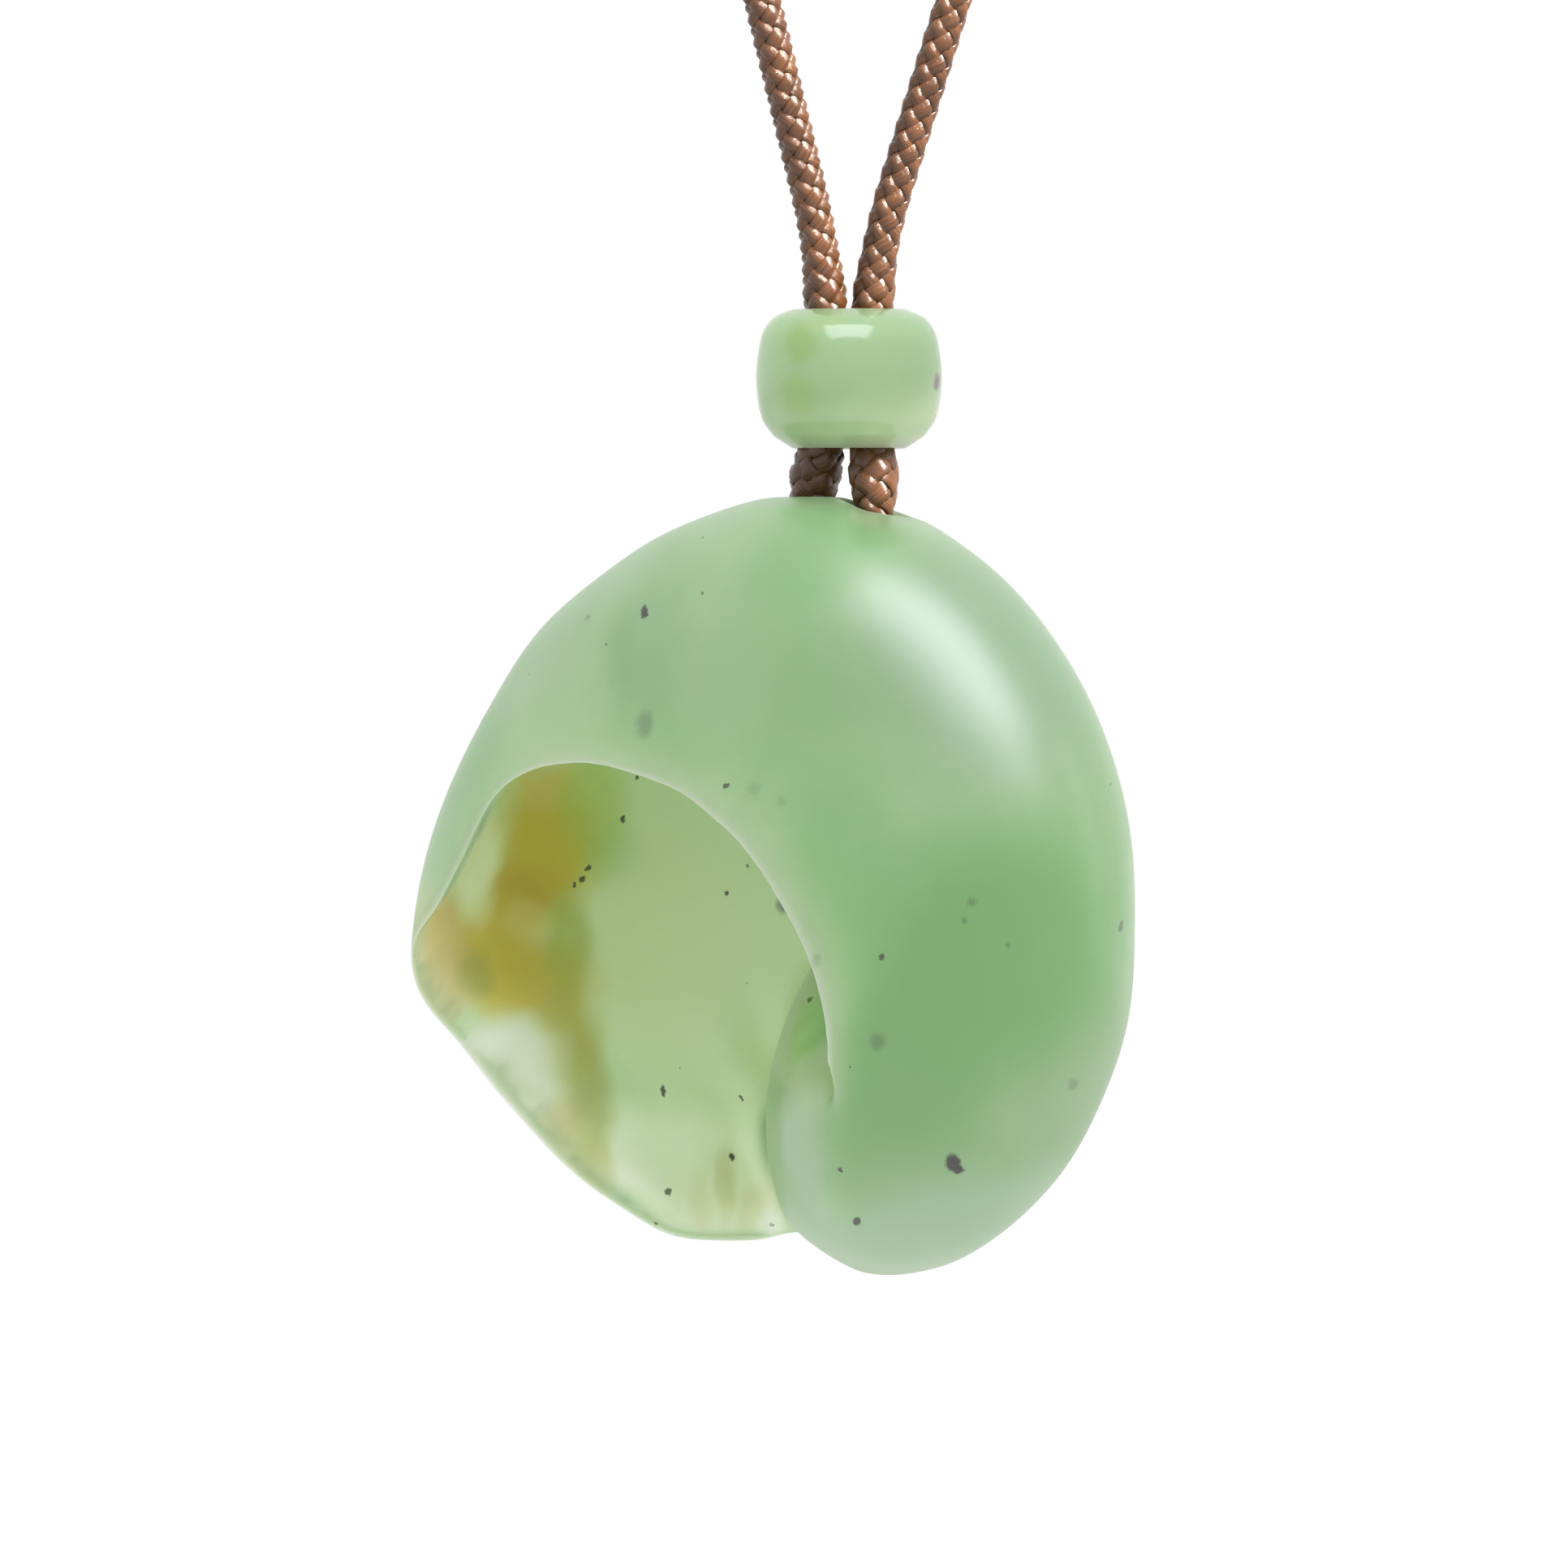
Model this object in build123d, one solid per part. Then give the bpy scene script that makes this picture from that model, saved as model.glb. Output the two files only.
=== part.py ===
from build123d import *

import math
import os

import numpy as np
from scipy.interpolate import PchipInterpolator

# A jade seashell pendant on a closed loop of braided cord, hanging from the nape of the neck.
# Millimetres, +Z up, the viewer looks along +Y. The origin is the middle of the cord at the loop's top.

# Driving dimensions of the cord and its loop
cord_diameter = 1.8
neck_radius = 57.5  # middle of the cord where it lies round the neck
left_lean = 13.7  # degrees from upright, as the taut strands run in the photograph
right_lean = 17.2
strand_gap = 0.2  # between the two strands where they lie side by side
knot_length = 8.0
knot_diameter = 4.6
knot_clearance = 0.12

# Driving dimensions of the bead
bead_diameter = 8.5
bead_height = 6.5
bead_lift = 2.1  # from the shell's crest to the bead's underside
bead_clearance = 0.26
bead_edge_round = 0.65

# Driving dimensions of the shell
shell_width = 33.0
shell_height = 35.5
shell_depth = 24.2
shell_forward = 0.8  # the shell's middle lies this far in front of the cord, so that it hangs level
shell_wall = 2.0  # the near and far walls of the hollow
shell_cheek = 4.2  # the thick wall on the right of the hollow
lip_bevel = 1.8  # how far the walls thin towards the mouth's rim
lip_overcut = 1.5  # how far the hollow's cutter stands out of the mouth
fold_round = 1.0  # blend of the columella into the near wall
back_round = 2.5  # blend of the columella into the far wall

# Driving dimensions of the cord's tunnel through the crest
tunnel_depth = 3.6  # from the crest to the middle of the cord in the tunnel
tunnel_across = -0.13  # middle of the tunnel, from the shell's upright datum line
tunnel_turn = 43.0  # degrees, in plan, that the tunnel's right end comes towards the viewer
strand_spacing = 4.0  # between the two strands in the tunnel
tunnel_clearance = 0.27
tunnel_roof = 1.85  # stone between the tunnel and the hollow
swing_range = 10.0  # degrees each way that the shell swings on the cord
swing_room = 2.0  # degrees more that the holes widen by
widening_start = 0.8  # above the tunnel's axis, where the holes begin to widen
widening_clearance = 0.12

bend_share = 0.45  # a bend's radius over the shorter run beside it, for a turn of 90 degrees

# Worked out from them
cord_radius = cord_diameter / 2
strand_pitch = cord_diameter + strand_gap
bead_bore = strand_pitch + cord_diameter + 2 * bead_clearance
hole_radius = cord_radius + tunnel_clearance
hollow_top = tunnel_depth + hole_radius + tunnel_roof
across_tunnel = Vector(math.cos(math.radians(tunnel_turn)), -math.sin(math.radians(tunnel_turn)), 0)

# Plan sections of the uncut shell, from the crest down. down is a share of the shell's height, left, right
# and ridge are shares of its width from the datum line, front and back are shares of its depth.
egg_columns = ("down", "left", "right", "ridge", "front", "back")
egg_sections = (
    (0.001, -0.067, -0.020, -0.044, -0.037, 0.037),
    (0.005, -0.126, 0.027, -0.043, -0.107, 0.099),
    (0.021, -0.182, 0.086, -0.034, -0.190, 0.174),
    (0.050, -0.256, 0.141, -0.002, -0.273, 0.248),
    (0.097, -0.333, 0.207, 0.037, -0.355, 0.318),
    (0.165, -0.418, 0.273, 0.076, -0.434, 0.384),
    (0.248, -0.480, 0.329, 0.104, -0.488, 0.430),
    (0.342, -0.534, 0.370, 0.121, -0.517, 0.459),
    (0.447, -0.577, 0.394, 0.130, -0.529, 0.471),
    (0.561, -0.600, 0.398, 0.130, -0.517, 0.467),
    (0.676, -0.597, 0.388, 0.127, -0.488, 0.446),
    (0.780, -0.554, 0.350, 0.121, -0.446, 0.409),
    (0.864, -0.479, 0.300, 0.112, -0.388, 0.360),
    (0.926, -0.384, 0.239, 0.099, -0.318, 0.293),
    (0.968, -0.272, 0.181, 0.082, -0.240, 0.219),
    (0.991, -0.143, 0.129, 0.068, -0.153, 0.140),
    (1.001, 0.015, 0.093, 0.059, -0.062, 0.058),
)

# The upright line that the hollow is turned about, bent to stay inside the shell.
middle_columns = ("down", "across", "deep")
middle_line = (
    (0.150, -0.092, 0.000),
    (0.248, -0.159, 0.000),
    (0.405, -0.227, -0.033),
    (0.561, -0.266, -0.083),
    (0.718, -0.272, -0.165),
    (0.801, -0.255, -0.227),
    (0.864, -0.232, -0.215),
    (0.916, -0.193, -0.149),
    (0.953, -0.159, -0.099),
    (1.031, -0.154, -0.083),
)

# The mouth's rim as the photograph shows it: up the near lip from the bulb, over its top, down to the
# left corner and along the far rim. side is -1 on the near wall, 1 on the far wall and 0 at the corner.
rim_columns = ("across", "down", "side")
mouth_rim = (
    (0.037, 0.989, -1),
    (0.003, 0.906, -1),
    (-0.011, 0.833, -1),
    (-0.019, 0.771, -1),
    (-0.019, 0.722, -1),
    (-0.027, 0.676, -1),
    (-0.040, 0.636, -1),
    (-0.052, 0.595, -1),
    (-0.088, 0.524, -1),
    (-0.134, 0.461, -1),
    (-0.178, 0.415, -1),
    (-0.239, 0.376, -1),
    (-0.300, 0.354, -1),
    (-0.361, 0.342, -1),
    (-0.414, 0.347, -1),
    (-0.475, 0.376, -1),
    (-0.513, 0.432, -1),
    (-0.538, 0.482, -1),
    (-0.575, 0.540, -1),
    (-0.600, 0.587, 0),
    (-0.585, 0.645, 1),
    (-0.539, 0.707, 1),
    (-0.484, 0.770, 1),
    (-0.423, 0.833, 1),
    (-0.350, 0.895, 1),
    (-0.301, 0.926, 1),
    (-0.224, 0.957, 1),
    (-0.182, 0.964, 1),
    (-0.149, 0.965, 1),
    (-0.103, 0.959, 1),
    (-0.064, 0.945, 1),
)

# The bulb at the lower right and the columella that curls from it up into the hollow: the left contour,
# the half width, the depth of that contour and the nearest depth, from the top down.
columella_columns = ("down", "left", "half", "side", "front")
columella_sections = (
    (0.300, 0.323, 0.061, 0.000, -0.083),
    (0.405, 0.194, 0.067, 0.000, -0.099),
    (0.467, 0.099, 0.079, -0.008, -0.116),
    (0.520, 0.027, 0.088, -0.017, -0.140),
    (0.561, -0.016, 0.094, -0.025, -0.165),
    (0.606, -0.048, 0.100, -0.033, -0.198),
    (0.636, -0.067, 0.106, -0.041, -0.227),
    (0.681, -0.086, 0.118, -0.050, -0.289),
    (0.729, -0.102, 0.133, -0.058, -0.372),
    (0.771, -0.110, 0.152, -0.062, -0.438),
    (0.806, -0.112, 0.164, -0.062, -0.455),
    (0.843, -0.109, 0.170, -0.058, -0.440),
    (0.891, -0.098, 0.170, -0.050, -0.398),
    (0.930, -0.081, 0.152, -0.037, -0.352),
    (0.958, -0.051, 0.121, -0.025, -0.296),
    (0.982, -0.013, 0.085, -0.012, -0.222),
    (0.995, 0.016, 0.067, -0.004, -0.140),
    (1.010, 0.048, 0.061, 0.000, -0.107),
    (1.031, 0.076, 0.061, 0.000, -0.107),
)

# Wall of the hollow by compass turn about its middle line, in degrees from the right, as a share of the way
# from the thin wall to the thick cheek.
wall_turns = (-330, -300, -180, -75, -50, -25, 0, 30)
wall_thickening = (0.30, 0.02, 0.00, 0.00, 0.20, 0.90, 1.00, 0.30)

# The hollow closes upwards in a dome: height from its top as a share of the dome, and how full it is there.
dome_heights = (0.0, 0.053, 0.167, 0.379, 0.667, 1.0)
dome_fullness = (0.16, 0.38, 0.60, 0.80, 0.93, 1.0)
dome_foot = 0.355  # the dome's foot, as a share of the shell's height
hollow_levels = (0.400, 0.451, 0.507, 0.563, 0.620, 0.665, 0.710, 0.755, 0.800, 0.845, 0.890, 0.930, 0.958, 0.980)
hollow_foot = (0.994, 1.011)

# The bead's side from its underside up: shares of its height and of its radius.
bead_sides = (
    (0.114, 0.824),
    (0.182, 0.903),
    (0.318, 0.973),
    (0.523, 1.000),
    (0.727, 0.968),
    (0.864, 0.903),
    (0.932, 0.817),
)


def column(rows, columns, name):
    """One column of a table of sections, as an array."""
    return np.array([row[columns.index(name)] for row in rows], float)


def smooth_column(rows, columns, name, scale):
    """A smooth curve through one column of a table, against the height in millimetres."""
    heights = -shell_height * column(rows, columns, "down")
    upward = np.argsort(heights)
    return PchipInterpolator(heights[upward], scale * column(rows, columns, name)[upward], extrapolate=True)


egg_curves = {
    "left": smooth_column(egg_sections, egg_columns, "left", shell_width),
    "right": smooth_column(egg_sections, egg_columns, "right", shell_width),
    "ridge": smooth_column(egg_sections, egg_columns, "ridge", shell_width),
    "front": smooth_column(egg_sections, egg_columns, "front", shell_depth),
    "back": smooth_column(egg_sections, egg_columns, "back", shell_depth),
}
middle_across = smooth_column(middle_line, middle_columns, "across", shell_width)
middle_deep = smooth_column(middle_line, middle_columns, "deep", shell_depth)
columella_curves = {
    "left": smooth_column(columella_sections, columella_columns, "left", shell_width),
    "half": smooth_column(columella_sections, columella_columns, "half", shell_width),
    "side": smooth_column(columella_sections, columella_columns, "side", shell_depth),
    "front": smooth_column(columella_sections, columella_columns, "front", shell_depth),
}


def egg_section(height, turns):
    """Points of the uncut shell's plan section. Turn 0 is its front, 90 degrees its right."""
    left, right, ridge, front, back = (float(curve(height)) for curve in egg_curves.values())
    half = (right - left) / 2
    lean = (ridge - (left + right) / 2) / half

    def swing(angle):
        return np.sin(angle) + lean * ((1 + np.cos(angle)) / 2) ** 1.5

    whole = swing(np.radians(np.arange(360)))
    angle = np.radians(turns)
    x = left + (swing(angle) - whole.min()) / (whole.max() - whole.min()) * (right - left)
    y = np.where(np.cos(angle) > 0, front * np.cos(angle), -back * np.cos(angle))
    return np.stack([x, y], axis=1)


def middle_at(height):
    """Where the hollow's middle line crosses this height."""
    return np.array([float(middle_across(height)), float(middle_deep(height))])


def egg_distances(height, middle, compass):
    """How far the uncut shell's side is from the middle line, along each compass turn in degrees."""
    points = egg_section(height, np.linspace(0, 360, 1081)) - middle
    around = np.degrees(np.unwrap(np.arctan2(points[:, 1], points[:, 0])))
    distance = np.hypot(points[:, 0], points[:, 1])
    wanted = around[0] + np.mod(compass - around[0], 360)
    return np.interp(wanted, around, distance)


def rim_compass(across, height, side):
    """The compass turn, from -360 to 75, at which a rim point lies on the near or the far wall."""
    points = egg_section(height, np.linspace(0, 360, 1441))
    miss = np.abs(points[:, 0] - across) + 99 * (points[:, 1] * side < 0)
    found = points[np.argmin(points[:, 0]) if side == 0 else np.argmin(miss)] - middle_at(height)
    turn = math.degrees(math.atan2(found[1], found[0]))
    return turn - 360 if turn > 75 or (side == 1 and turn > 0) else turn


def unrolled_rim():
    """The mouth's rim on the shell's side rolled out flat, as a smooth line open at the bottom."""
    girth = math.pi * shell_width / 3 / 180
    flat = [(-2 * girth, -1.4 * shell_height), (-6 * girth, -1.13 * shell_height)]
    for across, down, side in mouth_rim:
        height = -down * shell_height
        flat.append((rim_compass(across * shell_width, height, side) * girth, height))
    flat += [(-335 * girth, -0.918 * shell_height), (-345 * girth, -1.13 * shell_height)]
    flat.append((-345 * girth, -1.4 * shell_height))
    flat = np.array(flat)
    along = np.concatenate([[0], np.cumsum(np.hypot(*np.diff(flat, axis=0).T))])
    fine = np.linspace(0, along[-1], 700)
    return girth, np.stack([PchipInterpolator(along, flat[:, k])(fine) for k in (0, 1)], axis=1)


girth_per_degree, rim_line = unrolled_rim()


def inside_mouth(turn, height):
    """Distance from the mouth's rim over the shell's side, positive inside the mouth."""
    here = np.array([turn * girth_per_degree, height])
    nearest = float(np.hypot(*(rim_line - here).T).min())
    above = rim_line[:, 1] - here[1]
    crossing = np.nonzero((above[:-1] > 0) != (above[1:] > 0))[0]
    share = above[crossing] / (above[crossing] - above[crossing + 1])
    across = rim_line[crossing, 0] + share * (rim_line[crossing + 1, 0] - rim_line[crossing, 0])
    return nearest if (across > here[0]).sum() % 2 else -nearest


def columella_distance(height, middle, turn):
    """How far the columella is from the middle line: a half ellipse in front, straight back behind it."""
    height = min(max(height, -1.031 * shell_height), -0.3 * shell_height)
    left, half, side, front = (float(curve(height)) for curve in columella_curves.values())
    angle = math.radians(turn)
    flank = math.atan2(side - middle[1], left - middle[0])
    if angle >= flank:
        run = math.cos(angle) - 0.12 * math.sin(angle - flank)
        return (left - middle[0]) / run if run > 0.05 else 3 * shell_width
    way = np.array([math.cos(angle) / half, math.sin(angle) / (side - front)])
    start = np.array([(middle[0] - left - half) / half, (middle[1] - side) / (side - front)])
    length = math.hypot(*way)
    along = -float(start @ way) / length
    aside = abs(float(start[0] * way[1] - start[1] * way[0])) / length
    if along < 0:
        return 3 * shell_width
    if aside < 1:
        return (along - math.sqrt(1 - aside * aside)) / length
    return along / length + 0.13 * shell_width * (aside - 1)


def blend(one, other, reach):
    """The smaller of two distances, rounded where they are alike."""
    near = max(reach - abs(one - other), 0) / reach
    return min(one, other) - near * near * reach / 4


def hollow_radius(height, middle, egg, turn):
    """How far the hollow reaches from its middle line along one compass turn."""
    wound = turn if turn < 40 else turn - 360
    wall = shell_wall + (shell_cheek - shell_wall) * float(np.interp(wound, wall_turns, wall_thickening))
    inside = inside_mouth(wound, height)
    if inside > 0:
        reach = egg + lip_overcut * math.tanh(inside / lip_bevel)
    else:
        reach = egg - wall * math.tanh(-inside / (1.1 * wall))
    foot = -dome_foot * shell_height
    if height > foot:
        reach *= float(PchipInterpolator(dome_heights, dome_fullness)((hollow_top + height) / (hollow_top + foot)))
    return blend(reach, columella_distance(height, middle, turn), fold_round if turn < 0 else back_round)


# Compass turns of a section's points, closest together where the lip, the groove and the bulb lie.
compass_turns = np.concatenate([
    np.arange(-180, -90, 10),
    np.arange(-90, -66, 6),
    np.arange(-66, -12, 3),
    np.arange(-12, 18, 5),
    np.arange(18, 180, 9),
])


def closed_section(points, height, shares):
    """A smooth closed wire through plan points at one height, with a knot share for each point."""
    edge = Edge.make_spline([Vector(x, y, height) for x, y in points], periodic=True, parameters=shares)
    return Wire([edge])


def make_egg():
    """The shell before it is hollowed."""
    count = 24
    turns = np.arange(count) * 360 / count
    shares = [float(share) for share in np.linspace(0, 1, count + 1)]
    heights = -shell_height * column(egg_sections, egg_columns, "down")
    return Solid.make_loft([closed_section(egg_section(height, turns), height, shares) for height in heights])


def make_hollow():
    """What is carved out: the hollow, its mouth and the groove between lip and columella."""
    shares = [float(turn + 180) / 360 for turn in compass_turns] + [1.0]
    foot = -dome_foot * shell_height
    heights = [-hollow_top + share * (hollow_top + foot) for share in dome_heights[:-1]]
    heights += [-share * shell_height for share in (dome_foot - 0.004, *hollow_levels, *hollow_foot)]
    wires = []
    for height in heights:
        middle = middle_at(height)
        eggs = egg_distances(max(height, -0.962 * shell_height), middle, compass_turns)
        radii = [hollow_radius(height, middle, egg, turn) for egg, turn in zip(eggs, compass_turns)]
        angles = np.radians(compass_turns)
        points = middle + np.stack([radii * np.cos(angles), radii * np.sin(angles)], axis=1)
        wires.append(closed_section(points, height, shares))
    return Solid.make_loft(wires)


def tunnel_point(share, height):
    """A point over the tunnel: share -1 at the left strand, 1 at the right one, in the shell's frame."""
    step = across_tunnel * (share * strand_spacing / 2)
    return Vector(tunnel_across + step.X, shell_forward + step.Y, height)


def make_tunnel():
    """The cord's tunnel: a bend under the crest, and two upright holes that widen for the shell's swing."""
    top = cord_diameter
    corners = [tunnel_point(*end) for end in ((-1, top), (-1, -tunnel_depth), (1, -tunnel_depth), (1, top))]
    bend = FilletPolyline(*corners, radius=bend_share * strand_spacing)
    cutter = sweep(Plane(bend @ 0, z_dir=bend % 0) * Circle(hole_radius), path=bend)
    for share in (-1, 1):
        sections = []
        for rise in (widening_start, tunnel_depth + top):
            spread = 2 * rise * math.tan(math.radians(swing_range + swing_room))
            at = Location(tunnel_point(share, rise - tunnel_depth), (0, 0, 90 - tunnel_turn))
            sections.append(at * SlotCenterToCenter(spread, 2 * hole_radius + widening_clearance))
        cutter += loft(sections)
    return cutter


def make_shell():
    """The carved shell in its own frame: crest at the top, datum line at x = 0, middle of its depth at y = 0."""
    carved = make_egg() - make_hollow() - make_tunnel()
    return max(carved.solids(), key=lambda solid: solid.volume)


def make_bead():
    """The barrel bead, its underside at z = 0, with rounded ends to its hole."""
    bore = bead_bore / 2
    start = bore + bead_edge_round
    sides = [(share * bead_diameter / 2, height * bead_height) for height, share in bead_sides]
    side = Spline((start, 0), *sides, (start, bead_height), tangents=[(1, 0.2), (-1, 0.2)])
    upper = RadiusArc((start, bead_height), (bore, bead_height - bead_edge_round), -bead_edge_round)
    inner = Line((bore, bead_height - bead_edge_round), (bore, bead_edge_round))
    lower = RadiusArc((bore, bead_edge_round), (start, 0), -bead_edge_round)
    return revolve(Plane.XZ * make_face([side, upper, inner, lower]), Axis.Z)


# The frame of the pendant: x = 0 on the shell's datum line, y = 0 in the cord's plane, z = 0 at the crest.
bead_across = 0.15
join_height = 10.5  # where the two strands come together above the bead
bead_inside = 2.8  # where they begin to spread, low in the bead
left_across = bead_across - strand_pitch / 2
right_across = bead_across + strand_pitch / 2

# The neck circle touches both taut strands.
left_way = np.array([-math.sin(math.radians(left_lean)), math.cos(math.radians(left_lean))])
right_way = np.array([math.sin(math.radians(right_lean)), math.cos(math.radians(right_lean))])
left_normal = np.array([left_way[1], -left_way[0]])  # points from each strand into the loop
right_normal = np.array([-right_way[1], right_way[0]])
left_start = np.array([left_across, join_height])
right_start = np.array([right_across, join_height])
neck_middle = np.linalg.solve(
    np.array([left_normal, right_normal]),
    np.array([left_start @ left_normal + neck_radius, right_start @ right_normal + neck_radius]),
)
left_touch = neck_middle - neck_radius * left_normal
right_touch = neck_middle - neck_radius * right_normal
loop_top = Vector(neck_middle[0], 0, neck_middle[1] + neck_radius)

# The cord's route below the neck, from its left touching point round through the shell to its right one.
mouth_height = 0.4  # where the strands turn upright, just over the crest


def hung(point):
    """A point of the pendant's frame in the frame of the whole necklace."""
    return Vector(*point) - loop_top


def tunnel_end(share, height):
    """A point of the strand at one end of the tunnel, in the pendant's frame."""
    point = tunnel_point(share, height)
    return Vector(point.X, point.Y - shell_forward, point.Z)


cord_route = [
    hung((left_touch[0], 0, left_touch[1])),
    hung((left_across, 0, join_height)),
    hung((left_across, 0, bead_inside)),
    hung(tunnel_end(-1, mouth_height)),
    hung(tunnel_end(-1, -tunnel_depth)),
    hung(tunnel_end(1, -tunnel_depth)),
    hung(tunnel_end(1, mouth_height)),
    hung((right_across, 0, bead_inside)),
    hung((right_across, 0, join_height)),
    hung((right_touch[0], 0, right_touch[1])),
]


def corner_radii(route):
    """The bend radius at each inner point: a share of the shorter run over the tangent of half the turn."""
    radii = []
    for before, here, after in zip(route, route[1:], route[2:]):
        turn = (here - before).get_angle(after - here)
        shorter = min((here - before).length, (after - here).length)
        radii.append(bend_share * shorter / math.tan(math.radians(turn) / 2))
    return radii


def make_neck_cord():
    """The cord below the neck: two taut strands through the bead and the bend in the shell's tunnel."""
    radii = corner_radii(cord_route)
    path = FilletPolyline(*cord_route, radius=radii)
    tube = sweep(Plane(path @ 0, z_dir=path % 0) * Circle(cord_radius), path=path)
    print("bend radii", [round(radius, 2) for radius in radii])
    print("neck_cord length", round(path.length, 1), "volume", round(tube.volume, 1))
    print("section x length", round(math.pi * cord_radius**2 * path.length, 1))
    return tube


def make_nape_cord():
    """The cord where it lies round the neck, one arc from strand to strand over the nape."""
    middle = hung((neck_middle[0], 0, neck_middle[1]))
    arc = ThreePointArc(
        hung((left_touch[0], 0, left_touch[1])),
        middle + Vector(0, 0, neck_radius),
        hung((right_touch[0], 0, right_touch[1])),
    )
    print("nape_cord length", round(arc.length, 1))
    return sweep(Plane(arc @ 0, z_dir=arc % 0) * Circle(cord_radius), path=arc)


def make_knot():
    """The tied ends at the loop's top, as one plain rounded sleeve that the cord runs through."""
    sleeve = Plane.YZ.offset(-knot_length / 2) * extrude(Circle(knot_diameter / 2), knot_length)
    sleeve = fillet(sleeve.edges(), knot_diameter / 4)
    sag = neck_radius - math.sqrt(neck_radius**2 - (knot_length / 2) ** 2)
    bore = cord_radius + knot_clearance + sag
    return sleeve - Plane.YZ.offset(-knot_length) * extrude(Circle(bore), 2 * knot_length)


shell = Pos(*hung((0, -shell_forward, 0))) * make_shell()
bead = Pos(*hung((bead_across, 0, bead_lift))) * make_bead()
neck_cord = make_neck_cord()
nape_cord = make_nape_cord()
knot = make_knot()

print("loop top above the crest", round(loop_top.Z, 2), "neck middle", neck_middle - [loop_top.X, loop_top.Z])
print("swing axis through", hung(tunnel_end(0, -tunnel_depth)), "along", across_tunnel)
print("shell's middle of mass", shell.center(CenterOf.MASS))

nodes = {"shell": shell, "bead": bead, "neck_cord": neck_cord, "nape_cord": nape_cord, "knot": knot}
os.makedirs("parts", exist_ok=True)
for name, solid in nodes.items():
    export_step(solid, f"parts/{name}.step")
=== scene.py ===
import math

import bpy
import numpy as np
import openvdb
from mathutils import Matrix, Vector
from mathutils.bvhtree import BVHTree


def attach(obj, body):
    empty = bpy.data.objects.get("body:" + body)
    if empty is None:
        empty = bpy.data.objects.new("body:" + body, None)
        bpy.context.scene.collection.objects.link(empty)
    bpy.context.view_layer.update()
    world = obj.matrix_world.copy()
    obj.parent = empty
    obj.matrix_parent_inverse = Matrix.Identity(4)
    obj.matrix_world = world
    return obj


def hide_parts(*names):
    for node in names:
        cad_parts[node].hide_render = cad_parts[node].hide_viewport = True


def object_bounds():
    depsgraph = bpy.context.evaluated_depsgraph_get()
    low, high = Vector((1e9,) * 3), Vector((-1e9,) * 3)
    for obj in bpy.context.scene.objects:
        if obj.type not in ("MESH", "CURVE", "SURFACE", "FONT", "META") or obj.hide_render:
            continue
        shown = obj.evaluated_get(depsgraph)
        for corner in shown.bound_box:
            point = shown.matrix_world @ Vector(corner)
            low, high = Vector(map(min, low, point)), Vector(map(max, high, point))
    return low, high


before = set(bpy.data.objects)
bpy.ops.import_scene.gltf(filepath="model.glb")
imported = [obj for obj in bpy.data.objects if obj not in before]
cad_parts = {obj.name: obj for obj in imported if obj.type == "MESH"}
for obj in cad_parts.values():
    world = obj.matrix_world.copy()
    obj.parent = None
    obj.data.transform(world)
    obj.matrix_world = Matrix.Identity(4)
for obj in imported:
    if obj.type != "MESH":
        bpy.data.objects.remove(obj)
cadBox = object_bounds()
mm = 0.001

# the picture: its width in pixels, how many make a millimetre, and where the shell's crest is in it
picture = {"size": 1932, "pixelsPerMm": 27.0, "crestAcross": 1042, "crestDown": 612}
crest = Vector((-6.62265, 0, -280.128)) * mm  # the shell's datum line at its crest, in the frame


def pictureToFrame(across, down, depth=0.0):  # the point seen at this pixel, in the plane y = depth
    x = (across - picture["crestAcross"]) / picture["pixelsPerMm"] * mm
    z = (picture["crestDown"] - down) / picture["pixelsPerMm"] * mm
    return crest + Vector((x, depth, z))


def hexToLinear(code, alpha=1.0):  # sRGB hex value to the linear colour that the nodes take
    parts = [int(code[k : k + 2], 16) / 255 for k in (1, 3, 5)]
    linear = [p / 12.92 if p <= 0.04045 else ((p + 0.055) / 1.055) ** 2.4 for p in parts]
    return (*linear, alpha)


def addNode(tree, kind, values=(), links=(), **options):  # one node, its input values and its links
    node = tree.nodes.new(kind)
    for key, value in options.items():
        setattr(node, key, value)
    for key, value in dict(values).items():
        node.inputs[key].default_value = value
    for key, source in dict(links).items():
        tree.links.new(source, node.inputs[key])
    return node


def newMaterial(name):  # an empty node tree to fill
    material = bpy.data.materials.new(name)
    material.use_nodes = True
    material.node_tree.nodes.clear()
    return material, material.node_tree


def newPiece(name, points, faces):  # a smooth-shaded mesh object from lists or arrays, in metres
    mesh = bpy.data.meshes.new(name)
    mesh.from_pydata([tuple(p) for p in points], [], faces)
    mesh.polygons.foreach_set("use_smooth", [True] * len(mesh.polygons))
    mesh.update()
    piece = bpy.data.objects.new(name, mesh)
    bpy.context.scene.collection.objects.link(piece)
    return piece


# polished stone: the CAD solid remeshed finely, then its facets worn away where there is no edge

shellLook = {
    "voxel": 0.16 * mm,
    "grown": 0.3 * mm,  # how far out the level set is taken, before it goes back in
    "edgeRounds": 26,
    "rounds": 30,
    "edgeAngle": 24,  # degrees
    "faces": 190000,
    # x, z and reach in mm of the places where the bulb's seams are rubbed out, and how many rounds
    "soft": ((-4.5, -314.0, 5.5), (-7.9, -309.0, 3.4)),
    "softRounds": 90,
}
beadLook = {
    "voxel": 0.1 * mm,
    "grown": 0.2 * mm,
    "edgeRounds": 12,
    "rounds": 24,
    "edgeAngle": 24,
    "faces": 40000,
    "soft": (),
}


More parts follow.
